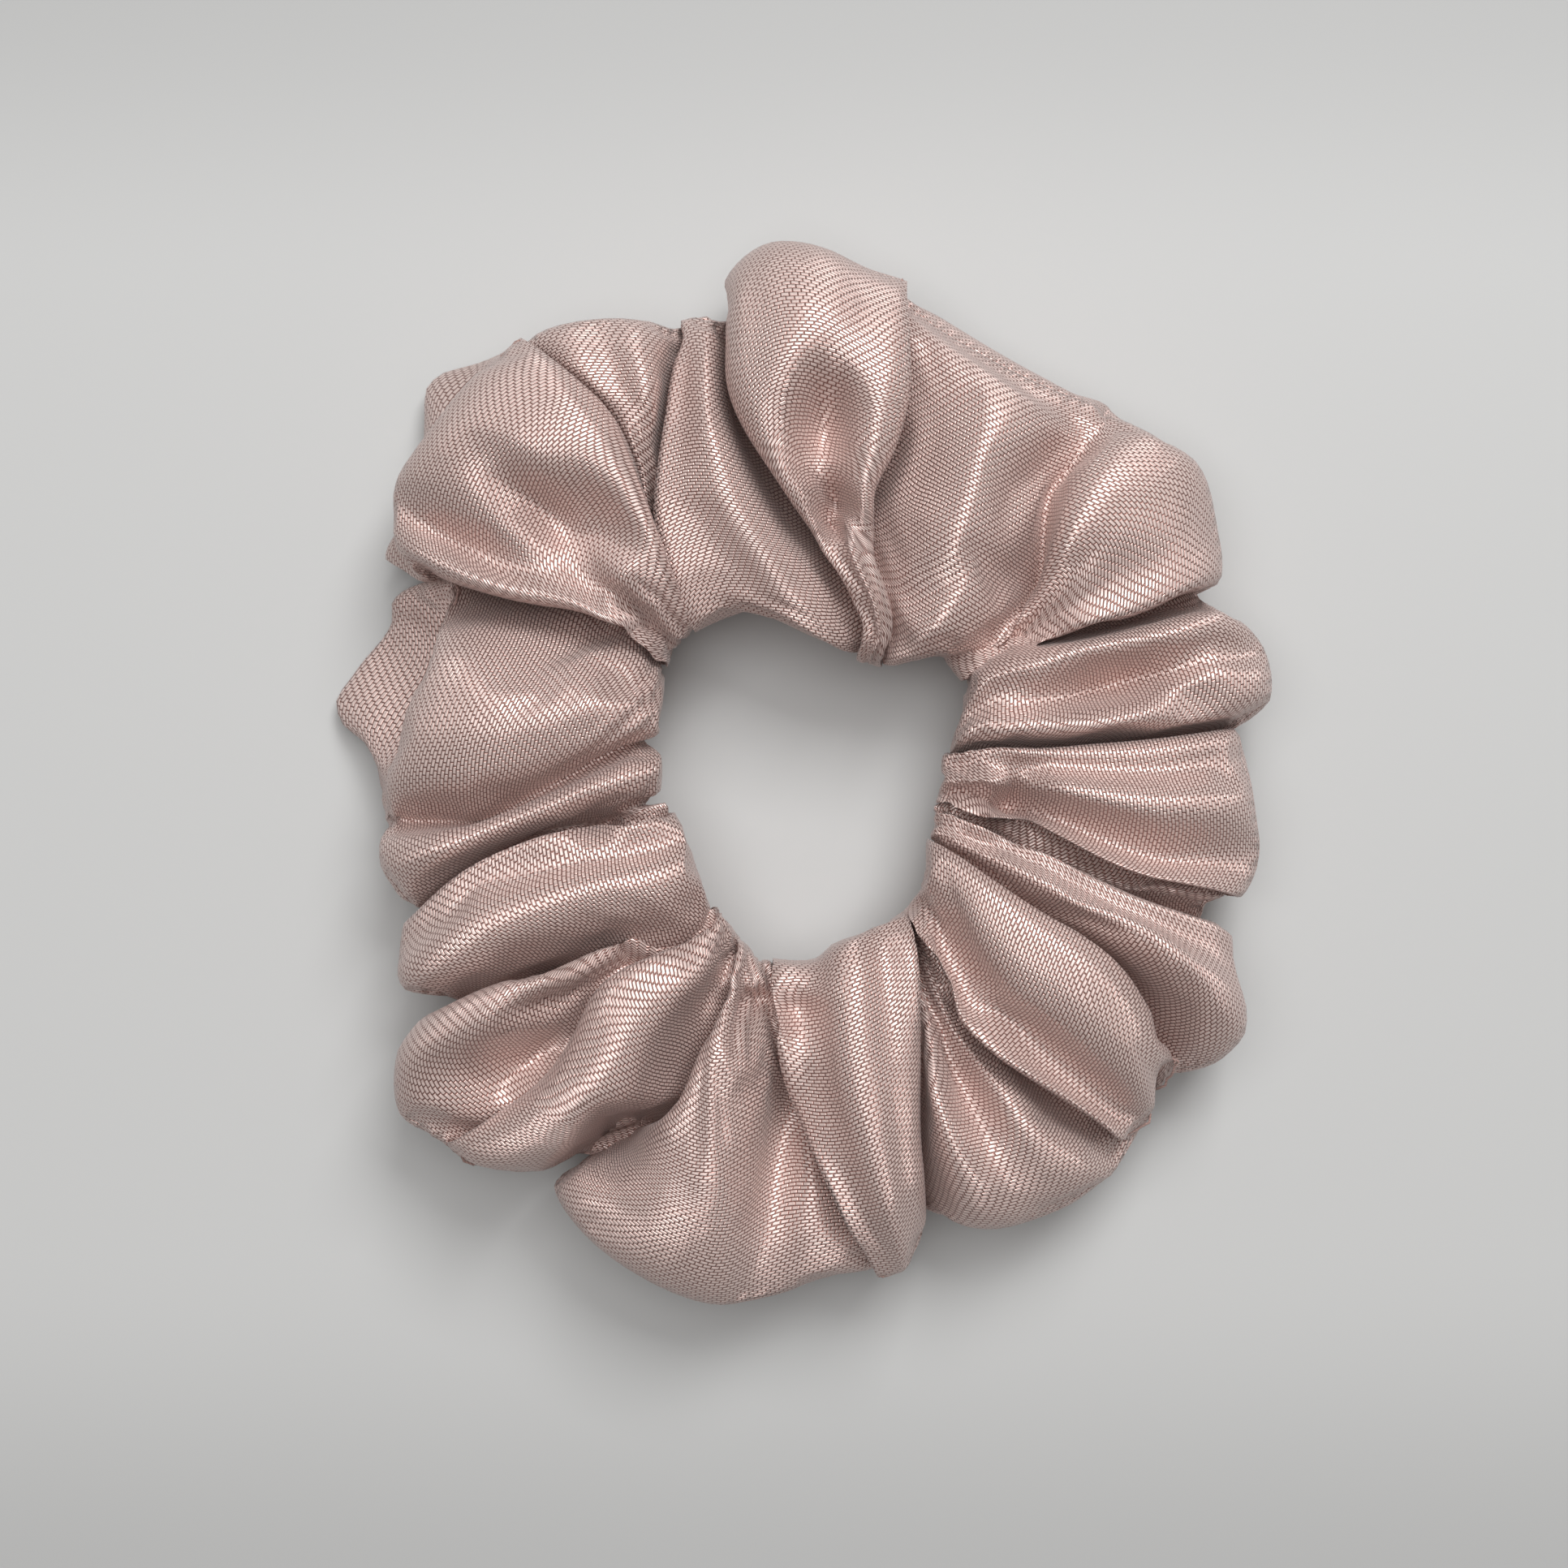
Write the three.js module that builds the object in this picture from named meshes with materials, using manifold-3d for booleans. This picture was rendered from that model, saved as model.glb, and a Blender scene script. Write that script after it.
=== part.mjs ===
// A fabric scrunchie lying flat: a satin sleeve gathered on a loop of flat elastic.
// Millimetres, +Z up. The origin is on the surface it lies on, under the middle of its outline.
// The cloth sleeve is one sewn tube; it is held here as nine short lengths so that the ring can open.
import * as THREE from "three";
import { ParametricGeometry } from "three/addons/geometries/ParametricGeometry.js";
import { mergeVertices } from "three/addons/utils/BufferGeometryUtils.js";
import Module from "manifold-3d";

const wasm = await Module();
wasm.setup();

// ---- driving dimensions ----
const holeCentre = { x: 0.46, y: -1.69 }; // its gathers are not even, so the hole is a little off the middle
const valleyDip = 4.0; // the outline draws in between two gathers
const valleySag = 3.5; // and the top sinks
const sectionSquareness = 0.82; // 1 is an ellipse, less is fuller
const undersideSink = 1.6; // the soft underside flattens by this on a table
const lengthSteps = 72; // facets round the ring
const sectionSteps = 20; // facets round the tube
const sectorGap = 0.3; // between two sleeve lengths
const sectorCut = { reach: 110, bottom: -5, height: 40 }; // wedge that cuts one length out, past the sleeve

const elastic = { radius: 25.5, middle: 12, width: 6, thickness: 1.2, lap: 15, lapGap: 0.4 };
const elasticClimb = { from: 0.72, to: 0.9 }; // share of its length where it steps out to lap itself
const elasticSteps = 60; // facets along it
const elasticRoom = 1.1; // clear space round the elastic in its channel
const channelSteps = 48; // facets round the channel
const seam = { inset: 4.5, level: 0.5, thread: 0.6, room: 0.5 }; // just inside the outer edge, half way up
const seamSides = { thread: 5, room: 6 }; // facets round it
const tack = { thread: 0.5, rows: 6, off: 0.5, share: 0.6, margin: 1, steps: 8 }; // zigzag inside the lap
const closing = { azimuth: 163, from: 24, to: 42, thread: 0.5, stitches: 8, swing: 0.6, steps: 3 };
const closingGroove = { width: 2.4, depth: 1.7, extra: 3 }; // crease in the underside that hides the stitches
const threadSides = 6;
const sameCorner = 1e-4; // corners nearer than this are one

// Each gather: azimuth in degrees, outer and inner radius from the hole's centre, height of its crest.
const gathers = [
  { at: 12, outer: 53.8, inner: 16.6, crest: 24.0 },
  { at: 39, outer: 57.8, inner: 20.5, crest: 26.0 },
  { at: 64, outer: 53.6, inner: 15.2, crest: 24.0 },
  { at: 90, outer: 60.8, inner: 16.2, crest: 27.0 },
  { at: 110, outer: 56.8, inner: 20.8, crest: 25.0 },
  { at: 128, outer: 62.2, inner: 21.5, crest: 25.5 },
  { at: 143, outer: 56.6, inner: 18.2, crest: 25.0 },
  { at: 169, outer: 54.6, inner: 15.0, crest: 24.0 },
  { at: 203, outer: 49.6, inner: 14.2, crest: 23.0 },
  { at: 222, outer: 58.6, inner: 15.0, crest: 25.0 },
  { at: 240, outer: 54.0, inner: 17.0, crest: 25.5 },
  { at: 259, outer: 58.4, inner: 20.4, crest: 27.0 },
  { at: 281, outer: 56.4, inner: 18.0, crest: 25.5 },
  { at: 300, outer: 56.6, inner: 18.2, crest: 25.0 },
  { at: 316, outer: 57.2, inner: 18.2, crest: 25.0 },
  { at: 332, outer: 56.4, inner: 16.3, crest: 24.0 },
  { at: 348, outer: 53.2, inner: 15.3, crest: 24.0 },
];

// ---- materials ----
const satin = new THREE.MeshStandardMaterial({ color: 0xcdb2ab, roughness: 0.42, metalness: 0 });
const elasticWhite = new THREE.MeshStandardMaterial({ color: 0xefebe4, roughness: 0.85, metalness: 0 });
const pinkThread = new THREE.MeshStandardMaterial({ color: 0xbf958c, roughness: 0.6, metalness: 0 });
const whiteThread = new THREE.MeshStandardMaterial({ color: 0xf2efe9, roughness: 0.7, metalness: 0 });

const radians = THREE.MathUtils.degToRad;

// ---- solids ----
function toSolid(geometry) {
  const bare = geometry.clone();
  bare.deleteAttribute("normal");
  bare.deleteAttribute("uv");
  const merged = mergeVertices(bare, sameCorner);
  const corners = [...merged.index.array];
  const triVerts = [];
  for (let i = 0; i < corners.length; i += 3) {
    const [a, b, c] = corners.slice(i, i + 3);
    if (a !== b && b !== c && c !== a) triVerts.push(a, b, c);
  }
  return new wasm.Manifold(
    new wasm.Mesh({
      numProp: 3,
      vertProperties: merged.attributes.position.array,
      triVerts: new Uint32Array(triVerts),
    }),
  );
}

function toMesh(solid, name, material) {
  const { vertProperties, triVerts } = solid.getMesh();
  const geometry = new THREE.BufferGeometry();
  geometry.setAttribute("position", new THREE.BufferAttribute(vertProperties, 3));
  geometry.setIndex(new THREE.BufferAttribute(triVerts, 1));
  geometry.computeVertexNormals();
  const mesh = new THREE.Mesh(geometry, material);
  mesh.name = name;
  return mesh;
}

// A point at a radius and azimuth from the hole's centre.
function ringPoint(radius, angle, z, target = new THREE.Vector3()) {
  return target.set(holeCentre.x + radius * Math.cos(angle), holeCentre.y + radius * Math.sin(angle), z);
}

// The outer and inner radius and the top of the sleeve at an azimuth, between the two nearest gathers.
function gatherAt(angle) {
  const degrees = THREE.MathUtils.euclideanModulo(THREE.MathUtils.radToDeg(angle), 360);
  const after = gathers.findIndex((gather) => gather.at > degrees);
  const next = after < 0 ? 0 : after;
  const a = gathers[(next - 1 + gathers.length) % gathers.length];
  const b = gathers[next];
  const span = THREE.MathUtils.euclideanModulo(b.at - a.at, 360);
  const share = THREE.MathUtils.euclideanModulo(degrees - a.at, 360) / span;
  const valley = Math.sin(Math.PI * share) ** 2;
  return {
    outer: THREE.MathUtils.lerp(a.outer, b.outer, share) - valleyDip * valley,
    inner: THREE.MathUtils.lerp(a.inner, b.inner, share),
    crest: THREE.MathUtils.lerp(a.crest, b.crest, share) - valleySag * valley,
  };
}

const fuller = (value) => Math.sign(value) * Math.abs(value) ** sectionSquareness;

// The gathered sleeve's outer form, closed both ways, flat where it lies on the table.
function sleeveForm(u, v, target) {
  const angle = 2 * Math.PI * u;
  const { outer, inner, crest } = gatherAt(angle);
  const turn = 2 * Math.PI * v;
  const radius = (outer + inner) / 2 + ((outer - inner) / 2) * fuller(Math.cos(turn));
  const z = (crest - undersideSink) / 2 + ((crest + undersideSink) / 2) * fuller(Math.sin(turn));
  ringPoint(radius, angle, Math.max(z, 0), target);
}

// A round-sectioned ring that follows the outer edge, for the long seam's thread and its room.
function seamForm(diameter) {
  return (u, v, target) => {
    const angle = 2 * Math.PI * u;
    const { outer, crest } = gatherAt(angle);
    const turn = 2 * Math.PI * v;
    const radius = outer - seam.inset + (diameter / 2) * Math.cos(turn);
    ringPoint(radius, angle, crest * seam.level + (diameter / 2) * Math.sin(turn), target);
  };
}

// The flat ring-shaped channel that the elastic lies in.
function elasticChannel() {
  const halfWidth = elastic.width / 2 + elasticRoom;
  const reach = elastic.thickness / 2 + elasticRoom;
  const lapped = elastic.thickness + elastic.lapGap;
  const profile = [
    new THREE.Vector2(elastic.radius - reach, elastic.middle - halfWidth),
    new THREE.Vector2(elastic.radius + reach + lapped, elastic.middle - halfWidth),
    new THREE.Vector2(elastic.radius + reach + lapped, elastic.middle + halfWidth),
    new THREE.Vector2(elastic.radius - reach, elastic.middle + halfWidth),
    new THREE.Vector2(elastic.radius - reach, elastic.middle - halfWidth),
  ];
  const ring = new THREE.LatheGeometry(profile, channelSteps);
  ring.rotateX(Math.PI / 2);
  ring.translate(holeCentre.x, holeCentre.y, 0);
  return ring;
}

// One wedge from the hole's centre between two azimuths, drawn in by half the gap on both faces.
function wedge(fromDegrees, toDegrees) {
  const half = radians(toDegrees - fromDegrees) / 2;
  const middle = radians(toDegrees + fromDegrees) / 2;
  const apex = sectorGap / 2 / Math.sin(half);
  const corner = new THREE.Vector2(
    holeCentre.x + apex * Math.cos(middle),
    holeCentre.y + apex * Math.sin(middle),
  );
  const along = (angle) =>
    new THREE.Vector2(
      corner.x + sectorCut.reach * Math.cos(angle),
      corner.y + sectorCut.reach * Math.sin(angle),
    );
  const outline = new THREE.Shape([corner, along(middle - half), along(middle + half)]);
  const slab = new THREE.ExtrudeGeometry(outline, { depth: sectorCut.height, bevelEnabled: false });
  slab.translate(0, 0, sectorCut.bottom);
  return slab;
}

function bar(points, section, steps) {
  const path = new THREE.CatmullRomCurve3(points);
  return new THREE.ExtrudeGeometry(section, { steps, extrudePath: path, bevelEnabled: false });
}

function roundSection(diameter) {
  const corners = [];
  for (let i = 0; i < threadSides; i += 1) {
    const turn = (2 * Math.PI * i) / threadSides;
    corners.push(new THREE.Vector2((diameter / 2) * Math.cos(turn), (diameter / 2) * Math.sin(turn)));
  }
  return new THREE.Shape(corners);
}

// The elastic is one flat strip: it goes once round and laps outside its own first end.
const lapStart = radians(closing.azimuth) - elastic.lap / elastic.radius / 2;

function elasticStrip() {
  const turns = 2 * Math.PI + elastic.lap / elastic.radius;
  const stepOut = elastic.thickness + elastic.lapGap;
  const points = [];
  for (let i = 0; i <= elasticSteps; i += 1) {
    const share = i / elasticSteps;
    const climb = THREE.MathUtils.smoothstep(share, elasticClimb.from, elasticClimb.to);
    points.push(ringPoint(elastic.radius + stepOut * climb, lapStart + turns * share, elastic.middle));
  }
  const half = { width: elastic.width / 2, thickness: elastic.thickness / 2 };
  const section = new THREE.Shape([
    new THREE.Vector2(-half.width, -half.thickness),
    new THREE.Vector2(half.width, -half.thickness),
    new THREE.Vector2(half.width, half.thickness),
    new THREE.Vector2(-half.width, half.thickness),
  ]);
  return bar(points, section, elasticSteps);
}

// Zigzag stitches on the inner face of the lap.
function tackThread() {
  const points = [];
  const radius = elastic.radius - elastic.thickness / 2 - tack.off;
  const span = (elastic.lap * tack.share) / elastic.radius;
  for (let i = 0; i <= tack.rows * 2; i += 1) {
    const angle = radians(closing.azimuth) + span * (i / (tack.rows * 2) - 0.5);
    const side = i % 2 ? 1 : -1;
    points.push(ringPoint(radius, angle, elastic.middle + side * (elastic.width / 2 - tack.margin)));
  }
  return bar(points, roundSection(tack.thread), tack.rows * tack.steps);
}

// Slip stitches that close the sleeve, in a crease of its underside.
function closingThread() {
  const points = [];
  const angle = radians(closing.azimuth);
  const count = closing.stitches * 2;
  for (let i = 0; i <= count; i += 1) {
    const radius = THREE.MathUtils.lerp(closing.from, closing.to, i / count);
    const point = ringPoint(radius, angle, closingGroove.depth / 2);
    const side = (i % 2 ? 1 : -1) * (closing.swing / 2);
    point.x += -Math.sin(angle) * side;
    point.y += Math.cos(angle) * side;
    points.push(point);
  }
  return bar(points, roundSection(closing.thread), count * closing.steps);
}

function closingCrease() {
  const length = closing.to - closing.from + closingGroove.extra;
  const crease = new THREE.BoxGeometry(length, closingGroove.width, closingGroove.depth * 2);
  crease.rotateZ(radians(closing.azimuth));
  const middle = ringPoint((closing.from + closing.to) / 2, radians(closing.azimuth), 0);
  crease.translate(middle.x, middle.y, middle.z);
  return crease;
}

// ---- the scrunchie ----
const scrunchie = new THREE.Group();
const seamRoom = new ParametricGeometry(seamForm(seam.thread + 2 * seam.room), lengthSteps, seamSides.room);
const seamThread = new ParametricGeometry(seamForm(seam.thread), lengthSteps, seamSides.thread);
const sleeve = toSolid(new ParametricGeometry(sleeveForm, lengthSteps, sectionSteps))
  .subtract(toSolid(elasticChannel()))
  .subtract(toSolid(seamRoom))
  .subtract(toSolid(closingCrease()));

const sleeveLengths = [
  { name: "sleeve_front", from: 247.5, to: 292.5 },
  { name: "sleeve_front_right", from: 292.5, to: 337.5 },
  { name: "sleeve_right", from: -22.5, to: 22.5 },
  { name: "sleeve_back_right", from: 22.5, to: 67.5 },
  { name: "sleeve_back_a", from: 67.5, to: 90 },
  { name: "sleeve_back_b", from: 90, to: 112.5 },
  { name: "sleeve_back_left", from: 112.5, to: 157.5 },
  { name: "sleeve_left", from: 157.5, to: 202.5 },
  { name: "sleeve_front_left", from: 202.5, to: 247.5 },
];
for (const { name, from, to } of sleeveLengths) {
  scrunchie.add(toMesh(sleeve.intersect(toSolid(wedge(from, to))), name, satin));
}
scrunchie.add(toMesh(toSolid(elasticStrip()), "elastic_band", elasticWhite));
scrunchie.add(toMesh(toSolid(tackThread()), "elastic_bar_tack", whiteThread));
scrunchie.add(toMesh(toSolid(seamThread), "long_seam_thread", pinkThread));
scrunchie.add(toMesh(toSolid(closingThread()), "closing_seam_thread", pinkThread));

export default scrunchie;
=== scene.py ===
# A satin scrunchie lying on a pale table, seen from above.
import math

import bpy
import numpy as np
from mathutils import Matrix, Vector


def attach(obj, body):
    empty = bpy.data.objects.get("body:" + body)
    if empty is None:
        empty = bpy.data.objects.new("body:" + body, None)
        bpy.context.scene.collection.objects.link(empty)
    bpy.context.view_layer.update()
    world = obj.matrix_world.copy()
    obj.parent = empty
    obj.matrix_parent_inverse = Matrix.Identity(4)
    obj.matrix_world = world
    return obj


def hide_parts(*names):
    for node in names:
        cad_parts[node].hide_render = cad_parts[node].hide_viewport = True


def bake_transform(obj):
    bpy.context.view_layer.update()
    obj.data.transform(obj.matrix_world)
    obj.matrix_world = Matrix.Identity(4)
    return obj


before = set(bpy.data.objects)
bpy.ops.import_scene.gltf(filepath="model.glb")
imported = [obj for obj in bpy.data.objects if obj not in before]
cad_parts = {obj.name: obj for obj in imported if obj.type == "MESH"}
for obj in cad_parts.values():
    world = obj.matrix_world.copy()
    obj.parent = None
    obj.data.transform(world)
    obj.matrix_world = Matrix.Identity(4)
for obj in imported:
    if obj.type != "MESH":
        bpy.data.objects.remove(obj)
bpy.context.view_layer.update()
print("frame loaded")

mm = 0.001
scene = bpy.context.scene

# The sewn tube as it lies, in mm. Azimuths are in degrees, anticlockwise from +X round the hair hole.
ring = {
    "centre": (0.46, -1.69),  # middle of the hair hole
    "rim": {0: 15.9, 9: 16.0, 18: 18.4, 30: 21.4, 40: 21.8, 52: 16.4, 62: 15.2, 85: 15.4, 104: 19.8,
            120: 20.6, 134: 20.4, 147: 17.6, 160: 16.2, 172: 15.0, 187: 15.3, 200: 13.4, 214: 14.3,
            228: 15.4, 241: 17.0, 256: 19.8, 270: 20.0, 280: 18.2, 292: 17.6, 311: 18.6, 333: 16.2,
            347: 15.2},  # radius of the hole's edge by azimuth
    "bandStart": 17.0,  # the band's usual radius at the hole, and its usual width
    "bandWidth": 37.0,
    "rimZ": 17.0,  # height of the hole's edge, the outer edge and the underside
    "outerZ": 11.0,
    "underZ": 0.6,
    "rimSink": 0.5,  # how much of a crease's depth each of them gives way by
    "outerRise": 0.4,
    "underRise": 0.25,
    "edgeFullness": 0.85,  # 1 rounds the tube's edges, less makes them blunter
    "topFullness": 0.75,  # the same for its top and underside
    "rows": 52,  # round the tube
    "columns": 300,  # along the strip
    "lineSteps": 8,  # columns between two drawn lines before they are spaced evenly
    "fullWidth": 8.0,  # a puff at least this wide stands to its full height
    "standPower": 0.6,  # and a narrower one this steeply less
    "neckStand": 0.85,  # least share of its height that a twisted neck keeps
    "shoulder": 0.3,  # how much a puff falls off towards its creases
    "shoulderPower": 2.5,
    "rimFloor": 16.0,  # crease floors rise to this at the hole, over the elastic
    "rimFloorReach": 0.42,
    "lowest": 2.2,  # bottom of the deepest hollow
}

# How a crease is folded. Heights are shares of the puff's height over the floor, depths are shares of
# the crease's depth, and backs are how far the hole's edge draws in, mm.
fold = {
    "tuck": 3.5,  # how far its bottom reaches under the upper puff, mm
    "tuckShare": 0.35,  # and at most this share of a puff's width
    "lap": 0.8,  # how far the upper puff's edge overhangs it, mm
    "lip": {"height": 0.72, "depth": 0.4},
    "wall": {"height": 0.25, "depth": 0.8, "back": 1.2, "lean": 0.1},
    "bottomBack": 2.0,
    "valley": {"height": 0.45, "depth": 0.5, "back": 0.8},
    "drawn": 0.9,  # how much of a puff's own lowering its edges follow
    "bends": (0.0, 0.3, 0.6, 1.0),  # shares of the way out where its azimuths are given
    "rounding": (-0.1, -0.05, 0, 0.05, 0.1),
    "floorChange": (0.5, 0.85),  # where its floor goes from the inner height to the outer one
}

# Each puff going round anticlockwise from the right. reach: how far out its outline comes on the near
# side, middle and far side, mm. top: its height, with its share of it on the near side, middle and far
# side in profile. crease: azimuth of the crease that ends it, from the rim to the outer edge. over: 1
# when this puff lies over the next, -1 when it goes under, 0 for an open valley. floor: height of the
# crease's bottom near the rim and near the edge. notch: outline radius there. neck: a twisted puff
# that stays high where it is narrow.
puffs = [
    {"reach": (52.6, 53.2, 51.0), "top": 24.5, "profile": (1.00, 0.80, 0.97),
     "crease": (35.5, 31.5, 27.0, 26.5), "over": -1, "floor": (9.0, 9.0), "notch": 49.8},
    {"reach": (54.2, 56.4, 54.8), "top": 25.0, "profile": (0.84, 0.86, 1.00),
     "crease": (36.5, 38.5, 50.0, 51.0), "over": 0, "floor": (13.0, 20.5), "notch": 53.8},
    {"reach": (52.4, 52.2, 53.8), "top": 24.5, "profile": (0.90, 1.00, 0.78),
     "crease": (55.0, 76.5, 73.8, 79.0), "over": -1, "floor": (11.0, 20.0), "notch": 55.8},
    {"reach": (57.2, 59.4, 59.8), "top": 27.5, "profile": (0.98, 1.00, 1.00),
     "crease": (58.5, 88.5, 99.0, 97.0), "over": 1, "floor": (8.0, 8.0), "notch": 52.8, "neck": 1},
    {"reach": (53.0, 53.4, 53.6), "top": 22.5, "profile": (0.90, 1.00, 0.90),
     "crease": (122.5, 119.0, 109.5, 101.0), "over": 1, "floor": (9.0, 9.0), "notch": 53.0},
    {"reach": (53.6, 55.6, 57.2), "top": 23.0, "profile": (0.85, 0.95, 1.00),
     "crease": (123.5, 120.5, 116.2, 121.5), "over": -1, "floor": (11.0, 18.0), "notch": 57.2},
    {"reach": (57.6, 56.6, 55.4), "top": 26.5, "profile": (1.00, 0.94, 0.80),
     "crease": (136.5, 140.0, 147.0, 149.5), "over": 1, "floor": (8.0, 8.0), "notch": 46.0},
    {"reach": (44.0, 44.4, 46.4), "top": 24.0, "profile": (0.86, 1.00, 0.97),
     "crease": (163.0, 178.0, 184.5, 183.0), "over": 0, "floor": (14.0, 17.0), "notch": 47.0},
    {"reach": (47.3, 47.2, 46.4), "top": 23.5, "profile": (0.85, 1.00, 0.85),
     "crease": (187.0, 189.8, 192.0, 199.0), "over": 0, "floor": (11.0, 11.0), "notch": 45.2},
    {"reach": (45.0, 45.0, 45.0), "top": 19.0, "profile": (0.90, 1.00, 0.90),
     "crease": (195.5, 191.5, 193.5, 200.5), "over": -1, "floor": (9.0, 9.0), "notch": 45.0},
    {"reach": (48.0, 49.4, 46.6), "top": 24.0, "profile": (0.90, 1.00, 0.92),
     "crease": (241.0, 221.0, 214.8, 213.5), "over": -1, "floor": (9.0, 9.0), "notch": 45.2},
    {"reach": (54.4, 57.4, 57.4), "top": 26.0, "profile": (1.00, 0.70, 0.60),
     "crease": (241.8, 225.0, 231.5, 228.0), "over": -1, "floor": (12.0, 15.0), "notch": 56.6},
    {"reach": (55.8, 53.6, 51.0), "top": 24.5, "profile": (1.00, 0.88, 0.62),
     "crease": (251.0, 251.5, 252.5, 240.5), "over": -1, "floor": (6.0, 5.0), "notch": 47.6},
    {"reach": (55.4, 57.4, 55.0), "top": 25.5, "profile": (1.00, 0.84, 0.62),
     "crease": (264.0, 267.5, 276.0, 282.5), "over": -1, "floor": (12.0, 15.0), "notch": 54.8},
    {"reach": (55.2, 55.0, 53.6), "top": 24.5, "profile": (0.80, 1.00, 0.95),
     "crease": (309.0, 296.5, 290.0, 287.0), "over": 1, "floor": (5.0, 5.0), "notch": 49.5},
    {"reach": (53.2, 55.4, 56.4), "top": 23.5, "profile": (0.95, 0.80, 0.90),
     "crease": (310.5, 304.0, 308.0, 314.5), "over": -1, "floor": (10.0, 12.0), "notch": 56.2},
    {"reach": (55.2, 53.8, 52.2), "top": 26.5, "profile": (0.58, 0.86, 1.00),
     "crease": (335.5, 331.5, 331.5, 323.0), "over": 1, "floor": (10.0, 10.0), "notch": 54.0},
    {"reach": (56.2, 56.6, 53.2), "top": 24.0, "profile": (0.80, 1.00, 0.85),
     "crease": (348.0, 343.5, 340.8, 341.3), "over": 1, "floor": (12.0, 11.0), "notch": 47.6},
    {"reach": (47.6, 48.0, 49.3), "top": 20.0, "profile": (0.80, 1.00, 0.80),
     "crease": (354.0, 347.0, 342.0, 345.0), "over": -1, "floor": (13.0, 13.0), "notch": 49.5},
    {"reach": (51.6, 50.2, 49.3), "top": 24.0, "profile": (0.58, 1.00, 0.88),
     "crease": (370.0, 365.5, 365.0, 365.5), "over": 1, "floor": (7.0, 8.0), "notch": 48.4},
]
# hollows pressed into the puffs: azimuth and radius of the middle, depth, then half width round the
# ring and outwards
hollows = [
    (17.0, 36.0, 7.0, 3.0, 6.5),
    (10.5, 44.0, 3.5, 1.4, 6.0),
    (42.0, 33.5, 3.0, 3.0, 3.5),
    (53.0, 45.5, 4.0, 2.6, 6.0),
    (85.5, 38.0, 10.0, 2.8, 6.0),
    (82.3, 30.0, 10.0, 1.6, 2.6),
    (114.0, 47.0, 3.0, 2.2, 6.0),
    (127.5, 36.0, 5.0, 3.0, 5.5),
    (133.0, 40.0, 6.0, 2.4, 7.0),
    (144.0, 46.0, 4.0, 1.8, 9.0),
    (183.0, 41.0, 3.5, 2.5, 6.0),
    (190.0, 23.0, 5.0, 1.6, 2.2),
    (226.5, 42.0, 8.0, 2.6, 7.0),
    (220.0, 36.5, 4.0, 1.6, 3.0),
    (245.4, 43.8, 16.0, 3.0, 3.0),
    (257.5, 24.5, 6.0, 2.2, 1.5),
    (268.0, 40.0, 5.5, 3.5, 9.0),
    (271.5, 25.0, 4.0, 1.4, 1.8),
    (300.5, 37.0, 6.0, 2.2, 6.0),
    (354.5, 24.0, 7.0, 2.6, 2.0),
]
# folded tabs that stick out low down behind a puff: azimuth, half width in degrees, how far they reach
tabs = [(169.0, 7.0, 8.5), (161.5, 7.0, 4.5), (153.5, 5.5, 6.0), (130.5, 5.5, 6.5)]
tabShape = {
    "point": 1.6,  # 1 is a sharp point, 2 a round one
    "row": 0.585,  # share of the way round the tube, just under the outer edge
    "rowWidth": 0.055,
    "tuckRow": 0.49,  # the cloth above it draws in here
    "tuckWidth": 0.028,
    "tuck": 3.5,
    "flatten": 0.45,
}
print("puffs", len(puffs))


# a smooth closed curve through points, for rows of numbers round the ring
def closedSpline(points, steps):
    count = len(points)
    before = np.roll(points, 1, axis=0)
    after = np.roll(points, -1, axis=0)
    later = np.roll(points, -2, axis=0)
    out = []
    for step in range(steps):
        t = step / steps
        out.append(0.5 * (2 * points + (after - before) * t
                          + (2 * before - 5 * points + 4 * after - later) * t * t
                          + (3 * points - before - 3 * after + later) * t * t * t))
    return np.stack(out, axis=1).reshape(count * steps, *points.shape[1:])


def rimRadius(azimuth):
    known = np.array(sorted(ring["rim"].items()), float)
    return np.interp(np.mod(azimuth, 360), known[:, 0], known[:, 1], period=360)


centre = np.array(ring["centre"])

# one line round the tube starts at the hole's edge, runs over the top and comes back underneath
turnShare = np.arange(ring["rows"]) / ring["rows"]
across = -np.cos(2 * np.pi * turnShare)
side = np.sin(2 * np.pi * turnShare)
fuller = np.sign(across) * np.abs(across) ** ring["edgeFullness"]
share = (fuller + 1) / 2  # 0 at the hole's edge, 1 at the outer edge
degree = np.degrees(1 / (ring["bandStart"] + share * ring["bandWidth"]))  # one mm round the ring


def tubeLine(azimuth, outer, top, depth, rimBack=0.0):
    inner = rimRadius(azimuth[0]) + rimBack
    radius = (inner + outer) / 2 + (outer - inner) / 2 * fuller
    fall = ring["outerZ"] - ring["rimZ"] + ring["outerRise"] * depth
    edge = ring["rimZ"] - ring["rimSink"] * depth + fall * share
    under = ring["underZ"] + ring["underRise"] * depth
    rise = np.abs(side) ** ring["topFullness"]
    height = np.where(side > 0, edge + (top - edge) * rise, edge + (under - edge) * rise)
    angle = np.radians(azimuth)
    x = centre[0] + radius * np.cos(angle)
    y = centre[1] + radius * np.sin(angle)
    return np.stack([x, y, height], axis=1)


# azimuths of a crease all the way out, rounded at its bends
def creaseSweep(puff, turns=0):
    crease = np.array(puff["crease"], float) + 360 * turns
    total = 0
    for shift in fold["rounding"]:
        total = total + np.interp(share + shift, fold["bends"], crease)
    return total / len(fold["rounding"])


def creaseFloor(puff):
    return np.interp(share, fold["floorChange"], puff["floor"])


def standing(width, puff):
    stand = np.clip(width / ring["fullWidth"], 0, 1) ** ring["standPower"]
    return np.maximum(stand, ring["neckStand"]) if "neck" in puff else stand


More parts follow.
